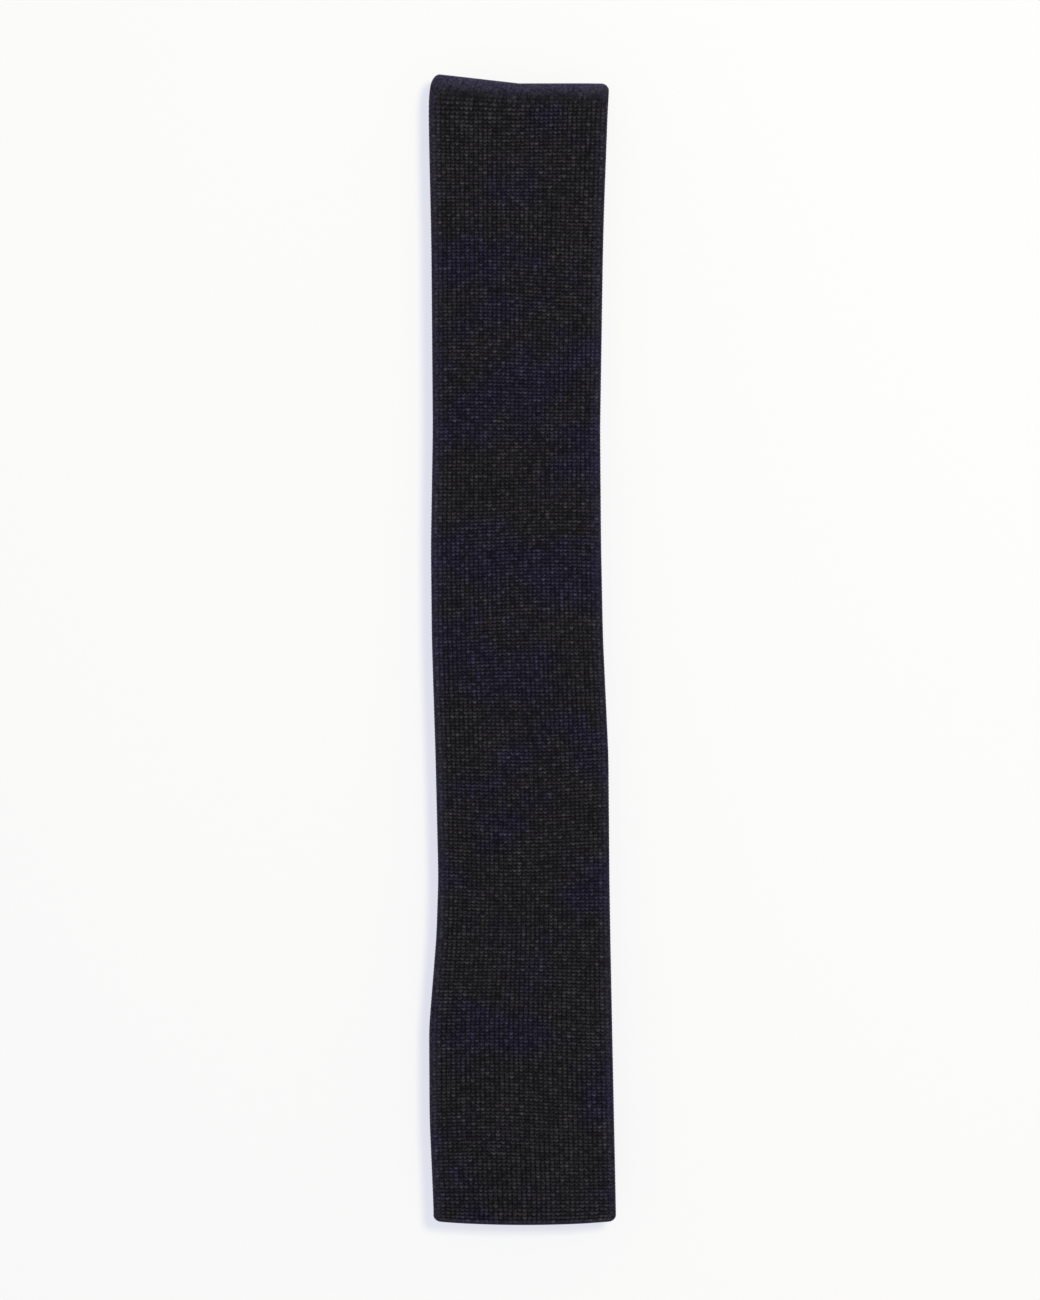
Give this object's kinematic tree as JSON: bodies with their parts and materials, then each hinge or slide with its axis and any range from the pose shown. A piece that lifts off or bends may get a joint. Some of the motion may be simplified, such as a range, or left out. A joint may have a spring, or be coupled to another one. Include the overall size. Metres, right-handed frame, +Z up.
{
  "type": "necktie",
  "caption": "Square-ended knitted wool necktie, folded flat in four layers; each fold opens until the tie lies straight.",
  "frame": {"origin": "centre of the folded tie's bounding box, on the surface it lies on", "axes": "+Z up from the surface, X across the tie, Y along it with the front blade's tip towards -Y and the front fold towards +Y"},
  "size_m": [0.061, 0.377, 0.0119],
  "materials": {
    "knit_wool": "matte fine-gauge wool knit, dark navy-charcoal melange",
    "sewing_thread": "matte twisted sewing thread",
    "interlining_canvas": "plain woven natural canvas",
    "maker_label_satin": "woven satin ribbon, blank",
    "care_label_satin": "woven satin ribbon, blank"
  },
  "bodies": {
    "tail_panel": {"tail_lower": "knit_wool", "tail_back_seam_lower": "sewing_thread", "tail_end_hem": "knit_wool", "tail_end_seam": "sewing_thread", "tail_bar_tack": "sewing_thread", "care_label": "care_label_satin", "care_label_stitches": "sewing_thread"},
    "tail_fold_band": {"tail_fold": "knit_wool"},
    "rear_panel": {"neck_tail_half": "knit_wool", "neck_tail_interlining": "interlining_canvas", "neck_tail_seam": "sewing_thread", "tail_neck_join": "sewing_thread", "tail_upper": "knit_wool", "tail_back_seam_upper": "sewing_thread"},
    "neck_fold_band": {"neck_fold": "knit_wool"},
    "middle_panel": {"front_blade_upper": "knit_wool", "front_back_seam_upper": "sewing_thread", "front_neck_join": "sewing_thread", "neck_front_half": "knit_wool", "neck_front_interlining": "interlining_canvas", "neck_front_seam": "sewing_thread"},
    "front_fold_band": {"front_fold": "knit_wool"},
    "front_panel": {"front_blade_lower": "knit_wool", "front_end_hem": "knit_wool", "front_end_seam": "sewing_thread", "front_back_seam_lower": "sewing_thread", "front_bar_tack": "sewing_thread", "keeper_loop": "knit_wool", "keeper_tacks": "sewing_thread", "maker_label": "maker_label_satin", "maker_label_stitches": "sewing_thread"}
  },
  "joints": [
    {"name": "tail_fold_opens", "type": "hinge", "parent": "tail_panel", "child": "tail_fold_band", "pos_m": [0, 0.1801, 0.0011], "axis": [-1, 0, 0], "range_deg": [0, 90], "deforming": ["tail_fold"]},
    {"name": "tail_fold_upper_crease", "type": "hinge", "parent": "tail_fold_band", "child": "rear_panel", "pos_m": [0, 0.1801, 0.0047], "axis": [-1, 0, 0], "range_deg": [0, 90]},
    {"name": "neck_fold_opens", "type": "hinge", "parent": "rear_panel", "child": "neck_fold_band", "pos_m": [0, -0.181, 0.0047], "axis": [1, 0, 0], "range_deg": [0, 90], "deforming": ["neck_fold"]},
    {"name": "neck_fold_upper_crease", "type": "hinge", "parent": "neck_fold_band", "child": "middle_panel", "pos_m": [0, -0.181, 0.0072], "axis": [1, 0, 0], "range_deg": [0, 90]},
    {"name": "front_fold_opens", "type": "hinge", "parent": "middle_panel", "child": "front_fold_band", "pos_m": [0, 0.1841, 0.0072], "axis": [-1, 0, 0], "range_deg": [0, 90], "deforming": ["front_fold"]},
    {"name": "front_fold_upper_crease", "type": "hinge", "parent": "front_fold_band", "child": "front_panel", "pos_m": [0, 0.1841, 0.0108], "axis": [-1, 0, 0], "range_deg": [0, 90]}
  ],
  "couplings": [
    {"joint": "tail_fold_upper_crease", "follows": "tail_fold_opens", "ratio": 1},
    {"joint": "neck_fold_upper_crease", "follows": "neck_fold_opens", "ratio": 1},
    {"joint": "front_fold_upper_crease", "follows": "front_fold_opens", "ratio": 1}
  ]
}
